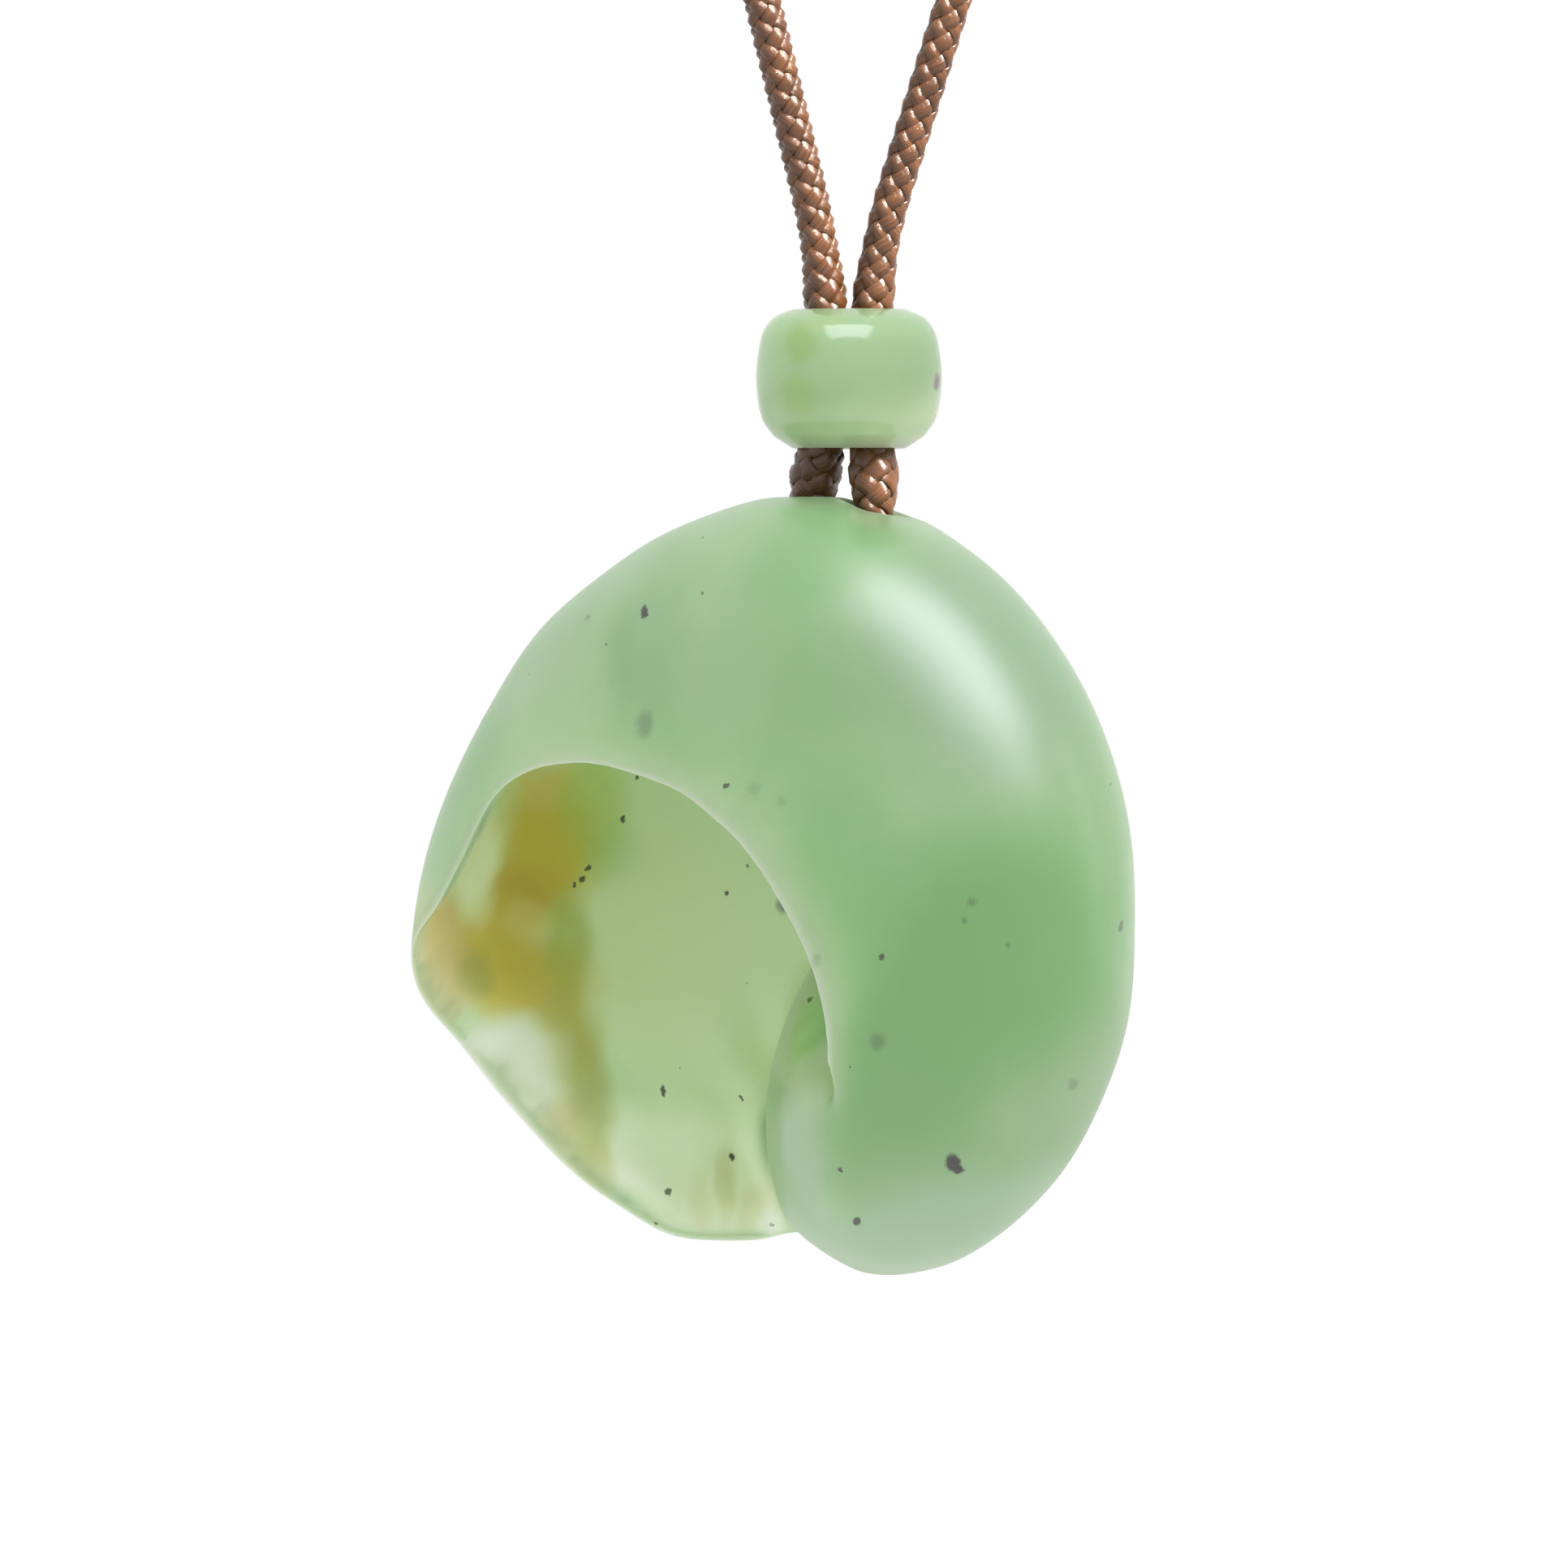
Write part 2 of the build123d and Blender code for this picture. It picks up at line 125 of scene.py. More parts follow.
def meanOfNeighbours(values, edges, counts):  # the average over each point's neighbours
    sums = np.empty_like(values)
    for k in range(values.shape[1]):
        ahead = np.bincount(edges[:, 0], values[edges[:, 1], k], len(values))
        behind = np.bincount(edges[:, 1], values[edges[:, 0], k], len(values))
        sums[:, k] = (ahead + behind) / counts
    return sums


def edgesOf(mesh):  # each edge's two points, and how many neighbours each point has
    edges = np.empty(len(mesh.edges) * 2, int)
    mesh.edges.foreach_get("vertices", edges)
    edges = edges.reshape(-1, 2)
    return edges, np.bincount(edges.ravel(), minlength=len(mesh.vertices)).astype(float)


def normalsOf(mesh):
    normals = np.empty(len(mesh.vertices) * 3)
    mesh.vertices.foreach_get("normal", normals)
    return normals.reshape(-1, 3)


def wornBead(points):  # the rims of the bead's two ends are worn rounder than in the CAD
    middle = Vector((-6.47265, 0, -274.778)) * mm
    reach = np.hypot(points[:, 0] - middle.x, points[:, 1]) / mm
    height = (points[:, 2] - middle.z) / mm
    half = 3.25  # of the bead's height, in mm as are the three rows
    radii = (2.35, 2.6, 2.81, 3.0, 3.2, 3.37, 3.5, 3.7, 3.84, 4.0, 4.15)
    under = (0, 0.12, 0.25, 0.37, 0.5, 0.62, 0.74, 0.96, 1.18, 1.52, 2.05)  # worn off at each radius
    over = (0, 0.05, 0.12, 0.2, 0.29, 0.38, 0.46, 0.66, 0.88, 1.2, 1.6)
    lowest = np.interp(reach, radii, under) - half
    highest = half - np.interp(reach, radii, over)
    points[:, 2] = np.clip(height, lowest, highest) * mm + middle.z


def scoopedCrest(points):  # the crest dips where the right strand goes in
    x, y, z = (points[:, k] / mm - crest[k] / mm for k in range(3))
    across = 1 / (1 + np.exp(-(x - 0.35) / 0.12)) / (1 + np.exp((x - 3.0) / 0.35))
    front = 1 / (1 + np.exp((y + 0.3) / 0.3))
    points[:, 2] -= across * front * np.clip(1.6 + z / 1.5, 0, 1) * 0.3 * mm


def remeshed(name, solid, look):  # a copy of a CAD solid with even faces, and its points
    cad = solid.data
    corners = np.empty(len(cad.vertices) * 3, np.float32)
    cad.vertices.foreach_get("co", corners)
    matrix = np.array(solid.matrix_world)
    corners = corners.reshape(-1, 3) @ matrix[:3, :3].T + matrix[:3, 3]
    cad.calc_loop_triangles()
    triangles = np.empty(len(cad.loop_triangles) * 3, np.int32)
    cad.loop_triangles.foreach_get("vertices", triangles)
    scale = openvdb.createLinearTransform(voxelSize=look["voxel"] / mm)
    distances = openvdb.FloatGrid.createLevelSetFromPolygons(
        corners / mm, triangles=triangles.reshape(-1, 3), transform=scale, halfWidth=4.0
    )
    grown, quads = distances.convertToQuads(isovalue=look["grown"] / mm)  # smooth even round sharp edges
    mesh = bpy.data.meshes.new(name)
    mesh.vertices.add(len(grown))
    mesh.vertices.foreach_set("co", (grown * mm).astype(np.float32).ravel())
    mesh.loops.add(quads.size)
    mesh.loops.foreach_set("vertex_index", quads[:, ::-1].astype(np.int32).ravel())
    mesh.polygons.add(len(quads))
    mesh.polygons.foreach_set("loop_start", np.arange(0, quads.size, 4, dtype=np.int32))
    mesh.update()
    points = grown.astype(float) * mm - normalsOf(mesh) * look["grown"]
    mesh.vertices.foreach_set("co", points.ravel())
    mesh.update()
    return mesh, points


def rubbed(mesh, points, look):  # the points after tumbling: edges rounded, facets worn away
    edges, counts = edgesOf(mesh)
    normals = normalsOf(mesh)
    average = normals
    for _ in range(6):
        average = meanOfNeighbours(average, edges, counts)
    average /= np.linalg.norm(average, axis=1, keepdims=True)
    turned = np.degrees(np.arccos(np.clip((normals * average).sum(1), -1, 1)))[:, None]
    edge = np.clip(turned / look["edgeAngle"] * 3 - 0.5, 0, 1)  # 0 on open faces, 1 along edges
    for _ in range(5):
        edge = meanOfNeighbours(edge, edges, counts)
    edge = np.clip(edge * 1.6, 0, 1)
    for _ in range(look["edgeRounds"]):
        points = points + 0.6 * edge * (meanOfNeighbours(points, edges, counts) - points)
    for x, z, reach in look["soft"]:
        away = np.hypot(points[:, :1] / mm - x, points[:, 2:] / mm - z)
        soft = np.clip((reach - away) / reach / 0.4, 0, 1)
        for _ in range(look["softRounds"]):
            points = points + 0.6 * soft * (meanOfNeighbours(points, edges, counts) - points)
    for _ in range(look["rounds"]):
        for push in (0.55, -0.57):  # in and out again, so that the form keeps its size
            points = points + push * (meanOfNeighbours(points, edges, counts) - points)
    return points


def polishedStone(node, name, look, reshape):  # a fine smooth copy of a CAD solid, which it stands for
    mesh, points = remeshed(name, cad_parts[node], look)
    reshape(points)
    points = rubbed(mesh, points, look)
    mesh.vertices.foreach_set("co", points.ravel())
    mesh.polygons.foreach_set("use_smooth", [True] * len(mesh.polygons))
    mesh.update()
    piece = bpy.data.objects.new(name, mesh)
    bpy.context.scene.collection.objects.link(piece)
    thinned = piece.modifiers.new("thinned", "DECIMATE")
    thinned.ratio = min(1.0, look["faces"] / (2 * len(mesh.polygons)))
    dressed = piece.evaluated_get(bpy.context.evaluated_depsgraph_get())
    piece.data = bpy.data.meshes.new_from_object(dressed)
    piece.modifiers.clear()
    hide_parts(node)
    return piece


carvedShell = polishedStone("shell", "carvedShell", shellLook, scoopedCrest)
barrelBead = polishedStone("bead", "barrelBead", beadLook, wornBead)
print("stone remeshed:", len(carvedShell.data.polygons), "and", len(barrelBead.data.polygons), "faces")


def surfaceFinder(piece):  # tells where a picture pixel meets the piece, looking from the front
    tree = BVHTree.FromPolygons(
        [v.co for v in piece.data.vertices], [p.vertices for p in piece.data.polygons]
    )

    def find(across, down):
        start = pictureToFrame(across, down, -60 * mm)
        hit = tree.ray_cast(start, Vector((0, 1, 0)))[0]
        return hit if hit else tree.find_nearest(pictureToFrame(across, down))[0]

    return find


marking = {
    "ways": (  # the ways that the test for the hollow looks from each point
        (1, 0, 0),
        (-1, 0, 0),
        (0, 0, 1),
        (0, 0, -1),
        (0, 1, 0),
        (1, -1, 1),
        (1, -1, -1),
        (-1, -1, 0),
    ),
    "lift": 0.1 * mm,  # off the surface, so that the surface itself doesn't stop it
    "reach": 40 * mm,
    "hollowRounds": 12,
    "edgeRounds": 24,
}


def markHollow(piece):  # a colour layer: its red is 1 deep in the hollow, where light is painted on; its green is 1 on the rims, where shade is painted on
    mesh = piece.data
    tree = BVHTree.FromPolygons([v.co for v in mesh.vertices], [p.vertices for p in mesh.polygons])
    ways = [Vector(way).normalized() for way in marking["ways"]]
    shut = np.zeros((len(mesh.vertices), 1))
    for vertex in mesh.vertices:
        start = vertex.co + vertex.normal * marking["lift"]
        facing = [way for way in ways if way.dot(vertex.normal) > 0.2]
        hits = sum(tree.ray_cast(start, way, marking["reach"])[0] is not None for way in facing)
        shut[vertex.index] = hits / max(1, len(facing))
    edges, counts = edgesOf(mesh)
    for _ in range(marking["hollowRounds"]):
        shut = meanOfNeighbours(shut, edges, counts)
    shut = np.clip(shut * 2.3 - 0.4, 0, 1)
    normals = normalsOf(mesh)
    places = np.array([v.co for v in mesh.vertices])
    outward = ((places - meanOfNeighbours(places, edges, counts)) * normals).sum(1) > 0
    for _ in range(6):
        normals = meanOfNeighbours(normals, edges, counts)
    parting = 1 - np.linalg.norm(normals, axis=1)  # how far the normals part, which they do at an edge
    edge = (np.clip(parting * 16 - 0.2, 0, 1) * outward)[:, None]
    for _ in range(marking["edgeRounds"]):
        edge = meanOfNeighbours(edge, edges, counts)
    edge = np.clip(edge * 2.4 - 0.05, 0, 1)
    layer = mesh.color_attributes.new("hollow", "FLOAT_COLOR", "POINT")
    layer.data.foreach_set("color", np.concatenate([shut, edge, edge, edge], axis=1).ravel())


# nephrite, sawn, carved and tumbled to a satin: a waxy green that light sinks into and glows through

nephrite = {
    "ior": 1.61,
    "shell": ("#82ad74", "#8fb581", "#a0c094"),  # deep, middle and pale green
    "bead": ("#8cad79", "#95b484", "#9eba90"),
    "hollow": "#cadcb9",  # painted light: the thin walls seen through the mouth, paler for the light that comes through them
    "rim": "#a4b696",  # painted shade: a greyer green on thin edges, which would glow too much
    "cloudSize": 11 * mm,  # the width of a cloud in the stone
    "warp": 0.75 * mm,  # how ragged the stains' edges are
    "lightDepth": 4.5 * mm,  # how far light runs inside
    "speck": "#2f3026",
    "chip": 0.5 * mm,  # how chipped the specks' edges are
    "orangePeel": 0.03 * mm,  # height of the last ripples that the tumbling leaves
    "rimShare": 0.65,  # how much of the rim's colour covers the edges
    "rimRoughness": 0.3,  # how much rougher the edges are
    "rimDepth": 0.7,  # how much less deep light runs in them, or the white behind would show through
}

# stains, with painted shade and painted light among them: picture pixel, half width, half height and half
# depth in mm, colour, strength
shellStainsAndPaintedLight = [
    # painted shade: a greyer, darker green where the sheen falls on the dome, so that the sheen reads
    # whiter
    ((1230, 800), (7.5, 8.0, 9.0), "#86a685", 0.5),
    # painted shade: darker green on the lower right side
    ((1330, 1340), (4.5, 6.0, 6.0), "#88a97c", 0.5),
    # painted light: a paler band along the bulb's bottom, where light comes through
    ((1210, 1510), (9.0, 3.6, 8.0), "#a9c4a6", 0.6),
    # painted shade: deeper green on the right middle, below the sheen
    ((1235, 1170), (8.0, 7.0, 7.0), "#72a85f", 0.85),
    ((1120, 1300), (4.5, 6.0, 5.0), "#78aa66", 0.7),
    ((1010, 690), (4.5, 3.5, 5.0), "#80b073", 0.6),
    ((1040, 1090), (3.0, 6.0, 4.0), "#7fae70", 0.6),
    ((680, 870), (3.6, 4.2, 5.0), "#a6c297", 0.6),
    ((765, 800), (0.8, 4.0, 3.0), "#80ad70", 0.35),
    ((800, 790), (2.6, 3.4, 5.0), "#80ab71", 0.5),
    ((1000, 1262), (1.6, 3.4, 2.2), "#9aca7f", 0.9),
    ((1002, 1332), (1.1, 1.8, 2.2), "#a6c486", 0.7),
    ((985, 1405), (2.0, 4.5, 2.6), "#b4cbac", 0.5),
    ((800, 1420), (5.5, 2.6, 6.0), "#dce9d0", 0.8),
    ((800, 1150), (4.5, 6.0, 8.0), "#cfd8b3", 0.6),
    ((905, 1470), (4.0, 1.8, 5.0), "#d0dabc", 0.6),
    ((590, 1055), (1.6, 3.4, 7.0), "#dde5c8", 0.9),
    ((672, 1040), (2.7, 3.9, 7.0), "#c8b944", 0.95),
    ((640, 1108), (2.2, 2.0, 7.0), "#c2ae45", 0.9),
    ((672, 972), (1.6, 1.2, 5.0), "#d0c474", 0.7),
    ((728, 1000), (1.8, 3.4, 7.0), "#bac96f", 0.6),
    ((752, 1050), (1.5, 1.6, 6.0), "#a3c084", 0.25),
    ((600, 1172), (2.6, 2.8, 7.0), "#c8b850", 0.95),
    ((652, 1212), (3.4, 2.2, 7.0), "#c4b650", 0.95),
    ((700, 1165), (1.4, 3.0, 7.0), "#b2b95e", 0.75),
    ((648, 1137), (1.4, 1.1, 6.0), "#d3cf92", 0.35),
    ((540, 1148), (1.5, 2.6, 7.0), "#cdb989", 0.85),
    ((538, 1215), (1.6, 2.4, 7.0), "#c6b789", 0.8),
    ((579, 1199), (0.9, 1.4, 5.0), "#a0a55e", 0.6),
    ((694, 1272), (1.9, 2.2, 7.0), "#b6b55c", 0.9),
    ((707, 1330), (1.6, 2.4, 7.0), "#aeb160", 0.85),
    ((717, 1392), (1.5, 2.4, 7.0), "#aab069", 0.8),
    ((728, 1446), (1.4, 1.6, 7.0), "#b0b274", 0.65),
    ((628, 1300), (2.7, 2.0, 7.0), "#d0d7c3", 0.95),
    ((648, 1350), (2.1, 1.9, 7.0), "#cbd3bd", 0.9),
    ((686, 1392), (1.0, 1.5, 6.0), "#c8bb94", 0.6),
    ((588, 1064), (1.2, 3.0, 7.0), "#dde4c6", 0.8),
    ((892, 1466), (0.6, 2.0, 5.0), "#b8b584", 0.5),
    ((926, 1492), (0.8, 1.3, 5.0), "#b9b689", 0.45),
    ((862, 1485), (0.6, 1.6, 5.0), "#b9b689", 0.35),
]
beadStainsAndPaintedLight = [
    ((985, 425), (0.9, 1.1, 1.8), "#86a657", 0.7),
    ((982, 490), (1.0, 1.3, 1.8), "#86a957", 0.65),
    ((1020, 400), (1.2, 0.6, 1.8), "#9ab26f", 0.4),
    # painted light: the bead's bottom paler, for light from below
    ((1050, 566), (6.5, 3.2, 5.0), "#cbdfb4", 0.7),
    ((1153, 470), (0.22, 0.5, 0.6), "#7d6f74", 1.0),
]

# dark specks of chromite: picture pixel, half width and half height in mm, strength
shellSpecks = [
    ((795, 755), (0.15, 0.36), 1.0),
    ((866, 733), (0.06, 0.14), 0.9),
    ((867, 664), (0.05, 0.09), 0.8),
    ((725, 763), (0.13, 0.13), 0.4),
    ((749, 795), (0.07, 0.07), 0.8),
    ((654, 830), (0.06, 0.06), 0.7),
    ((594, 887), (0.12, 0.18), 0.9),
    ((796, 893), (0.30, 0.45), 0.35),
    ((895, 968), (0.14, 0.14), 0.9),
    ((930, 972), (0.22, 0.22), 0.2),
    ((962, 988), (0.18, 0.18), 0.2),
    ((1366, 967), (0.07, 0.07), 0.8),
    ((1378, 1140), (0.15, 0.26), 0.6),
    ((1195, 1108), (0.20, 0.16), 0.4),
    ((1186, 1131), (0.12, 0.12), 0.4),
    ((1238, 1162), (0.12, 0.12), 0.4),
    ((1083, 1176), (0.14, 0.14), 0.9),
    ((1080, 1280), (0.28, 0.28), 0.35),
    ((1046, 1312), (0.06, 0.06), 0.9),
    ((1320, 1332), (0.22, 0.20), 0.3),
    ((1172, 1428), (0.36, 0.40), 1.0),
    ((1179, 1436), (0.28, 0.26), 1.0),
    ((1034, 1436), (0.12, 0.12), 0.9),
    ((1056, 1501), (0.20, 0.26), 0.9),
    ((783, 958), (0.12, 0.10), 0.9),
    ((766, 1010), (0.12, 0.12), 0.9),
    ((722, 1070), (0.12, 0.13), 0.8),
    ((716, 1084), (0.14, 0.17), 0.8),
    ((706, 1093), (0.08, 0.12), 0.9),
    ((895, 1100), (0.12, 0.12), 0.9),
    ((921, 1067), (0.08, 0.08), 0.6),
    ((964, 1118), (0.22, 0.26), 0.5),
    ((1004, 1182), (0.20, 0.24), 0.3),
    ((998, 1230), (0.12, 0.18), 0.8),
    ((920, 1214), (0.05, 0.05), 0.8),
    ((817, 1348), (0.13, 0.24), 0.9),
    ((836, 1318), (0.06, 0.06), 0.7),
    ((912, 1355), (0.09, 0.12), 0.9),
    ((901, 1427), (0.12, 0.20), 0.9),
    ((823, 1472), (0.13, 0.15), 0.8),
    ((807, 1511), (0.07, 0.09), 0.9),
    ((951, 1511), (0.08, 0.10), 0.8),
]


def mixColour(tree, share, below, above):  # this hex colour laid over the one below it
    links = {0: share, 6: below}
    return addNode(tree, "ShaderNodeMix", {7: hexToLinear(above)}, links, data_type="RGBA").outputs[2]


def shaken(tree, place, noise, width):  # the place, moved about by a noise over this width
    cloud = addNode(tree, "ShaderNodeTexNoise", noise, {"Vector": place})
    centred = addNode(
        tree, "ShaderNodeVectorMath", {1: (0.5,) * 3}, {0: cloud.outputs["Color"]}, operation="SUBTRACT"
    )
    moved = addNode(
        tree,
        "ShaderNodeVectorMath",
        {1: (width,) * 3},
        {0: centred.outputs[0], 2: place},
        operation="MULTIPLY_ADD",
    )
    return moved.outputs[0]


def reachFrom(tree, place, centre, halves):  # 0 at the centre, 1 on the ellipsoid with these halves in mm
    inverse = [1 / (half * mm) for half in halves]
    offset = addNode(tree, "ShaderNodeVectorMath", {1: centre}, {0: place}, operation="SUBTRACT")
    scaled = addNode(
        tree, "ShaderNodeVectorMath", {1: inverse}, {0: offset.outputs[0]}, operation="MULTIPLY"
    )
    length = addNode(tree, "ShaderNodeVectorMath", links={0: scaled.outputs[0]}, operation="LENGTH")
    return length.outputs["Value"]


def sumOfProduct(tree, source, factor, start):  # start + factor times the source
    links = {0: source}
    return addNode(
        tree, "ShaderNodeMath", {1: factor, 2: start}, links, operation="MULTIPLY_ADD"
    ).outputs[0]


def nephriteMaterial(name, roughness, shades, find, stainsAndPaintedLight, specks):
    material, tree = newMaterial(name)
    place = addNode(tree, "ShaderNodeTexCoord").outputs["Object"]
    clouds = addNode(
        tree,
        "ShaderNodeTexNoise",
        {"Scale": 1 / nephrite["cloudSize"], "Detail": 3, "Roughness": 0.45, "Distortion": 0.4},
        {"Vector": place},
    )
    shade = addNode(tree, "ShaderNodeValToRGB", links={"Fac": clouds.outputs["Fac"]})
    ramp = shade.color_ramp
    ramp.elements[0].position, ramp.elements[1].position = 0.3, 0.72
    ramp.elements[0].color = hexToLinear(shades[0])
    ramp.elements[1].color = hexToLinear(shades[2])
    ramp.elements.new(0.5).color = hexToLinear(shades[1])
    layer = addNode(tree, "ShaderNodeVertexColor", layer_name="hollow")
    marks = addNode(tree, "ShaderNodeSeparateColor", links={0: layer.outputs["Color"]})
    hollowLightMask, onRim = marks.outputs["Red"], marks.outputs["Green"]
    # painted light: the hollow's walls turn paler where the mask is deep
    colour = mixColour(tree, hollowLightMask, shade.outputs["Color"], nephrite["hollow"])

    ragged = shaken(tree, place, {"Scale": 300, "Detail": 3}, nephrite["warp"] * 2)
    for (across, down), (wide, high, deep), patchColour, strength in stainsAndPaintedLight:
        fade = addNode(
            tree,
            "ShaderNodeMapRange",
            {"From Min": 0.4, "From Max": 1.22, "To Min": strength, "To Max": 0.0},
            {"Value": reachFrom(tree, ragged, find(across, down), (wide, deep, high))},
            interpolation_type="SMOOTHSTEP",
        )
        colour = mixColour(tree, fade.outputs[0], colour, patchColour)
    # painted shade on the thin edges, to tone down their glow
    rim = addNode(tree, "ShaderNodeMath", {1: nephrite["rimShare"]}, {0: onRim}, operation="MULTIPLY")
    colour = mixColour(tree, rim.outputs[0], colour, nephrite["rim"])

    grit = {"Scale": 2300, "Detail": 3, "Roughness": 0.65}
    chipped = shaken(tree, place, grit, nephrite["chip"])
    dark = None
    for (across, down), (wide, high), strength in specks:
        halves = (wide, max(wide, high) * 1.5, high)
        blur = 1.2 if strength > 0.5 else 1.8  # the faint ones lie deeper and are blurred
        fade = addNode(
            tree,
            "ShaderNodeMapRange",
            {"From Min": 0.75, "From Max": blur, "To Min": strength, "To Max": 0.0},
            {"Value": reachFrom(tree, chipped, find(across, down), halves)},
        ).outputs[0]
        if dark is not None:
            links = {0: dark, 1: fade}
            fade = addNode(tree, "ShaderNodeMath", links=links, operation="MAXIMUM").outputs[0]
        dark = fade
    if dark is not None:
        colour = mixColour(tree, dark, colour, nephrite["speck"])

    ripples = addNode(tree, "ShaderNodeTexNoise", {"Scale": 1400, "Detail": 2}, {"Vector": place})
    bump = addNode(
        tree,
        "ShaderNodeBump",
        {"Strength": 0.12, "Distance": nephrite["orangePeel"]},
        {"Height": ripples.outputs["Fac"]},
    )
    depth = nephrite["lightDepth"]
    stone = addNode(
        tree,
        "ShaderNodeBsdfPrincipled",
        {
            "IOR": nephrite["ior"],
            "Specular IOR Level": 0.8,
            "Subsurface Weight": 1.0,
            "Subsurface Radius": (0.92, 1.0, 0.84),
        },
        {
            "Base Color": colour,
            "Normal": bump.outputs["Normal"],
            "Roughness": sumOfProduct(tree, onRim, nephrite["rimRoughness"], roughness),
            "Subsurface Scale": sumOfProduct(tree, onRim, -nephrite["rimDepth"] * depth, depth),
        },
        subsurface_method="RANDOM_WALK",
    )
    addNode(tree, "ShaderNodeOutputMaterial", links={"Surface": stone.outputs[0]})
    return material


markHollow(carvedShell)
satin = nephriteMaterial(
    "satinNephrite", 0.32, nephrite["shell"], surfaceFinder(carvedShell), shellStainsAndPaintedLight, shellSpecks
)
polished = nephriteMaterial(
    "polishedNephrite", 0.13, nephrite["bead"], surfaceFinder(barrelBead), beadStainsAndPaintedLight, []
)
carvedShell.data.materials.append(satin)
barrelBead.data.materials.append(polished)
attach(carvedShell, "shell")
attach(barrelBead, "cord")
print("stone dressed")

# the cord: one length of round braid, through the bead and the shell and round the neck

cord = {
    "diameter": 1.8 * mm,
    "length": 439.7 * mm,  # below the neck
    "strandsEachWay": 4,
    "lay": 4.28 * mm,  # length of one full turn of a strand
    "strandWidth": 0.74 * mm,  # the strands overlap, so that the filling doesn't show
    "strandThickness": 0.44 * mm,
    "rise": 0.14 * mm,  # how far a strand goes out and in at its crossings
    "corners": (0, 35, 72, 108, 145, 180, 270),  # of a strand's section, most of them on its outer side
    "core": 0.45 * mm,  # radius of the filling under the strands
    "coreSides": 6,
    "step": 0.2675 * mm,  # between a strand's points
    "turned": 18,  # degrees from the front to the nearest column of crowns
}

# the chosen points of the cord below the neck, in mm: taut from the neck's left side, through the bead,
# round the bend in the shell and back up
cordPoints = [
    (-55.864, 0.0, -71.118),
    (-9.296, 0.0, -262.147),
    (-7.473, 0.0, -269.628),
    (-7.473, 0.0, -277.328),
    (-8.215, 1.364, -279.728),
    (-8.215, 1.364, -283.728),
    (-5.290, -1.364, -283.728),
    (-5.290, -1.364, -279.728),
    (-5.473, 0.0, -277.328),
    (-5.473, 0.0, -269.628),
    (-3.196, 0.0, -262.272),
    (54.929, 0.0, -74.503),
]
neck = {"radius": 57.5 * mm, "from": 193.7, "to": -17.2}  # its two ends, in degrees from the right


def curveThrough(name, points):  # the places along one smooth open curve with these control points
    data = bpy.data.curves.new(name, "CURVE")
    data.dimensions = "3D"
    spline = data.splines.new("NURBS")
    spline.points.add(len(points) - 1)
    for target, point in zip(spline.points, points):
        target.co = (*[c * mm for c in point], 1)
    spline.order_u = 3
    spline.use_endpoint_u = True
    spline.resolution_u = 48
    holder = bpy.data.objects.new(name, data)
    bpy.context.scene.collection.objects.link(holder)
    line = bpy.data.meshes.new_from_object(holder)
    along = np.array([v.co for v in line.vertices])
    bpy.data.objects.remove(holder)
    return along


def neckArc():  # the middle of the cord round the neck, from its left to its right end
    turns = np.radians(np.linspace(neck["from"], neck["to"], 160))
    return np.stack(
        [neck["radius"] * np.cos(turns), 0 * turns, neck["radius"] * (np.sin(turns) - 1)], axis=1
    )


def lengthAlong(points):
    return np.concatenate([[0], np.cumsum(np.linalg.norm(np.diff(points, axis=0), axis=1))])


def tubeFaces(first, rings, count):  # the quads that join rings of so many points each
    faces = []
    for k in range(rings - 1):
        for j in range(count):
            a, b = first + k * count + j, first + k * count + (j + 1) % count
            faces.append((a, b, b + count, a + count))
    return faces


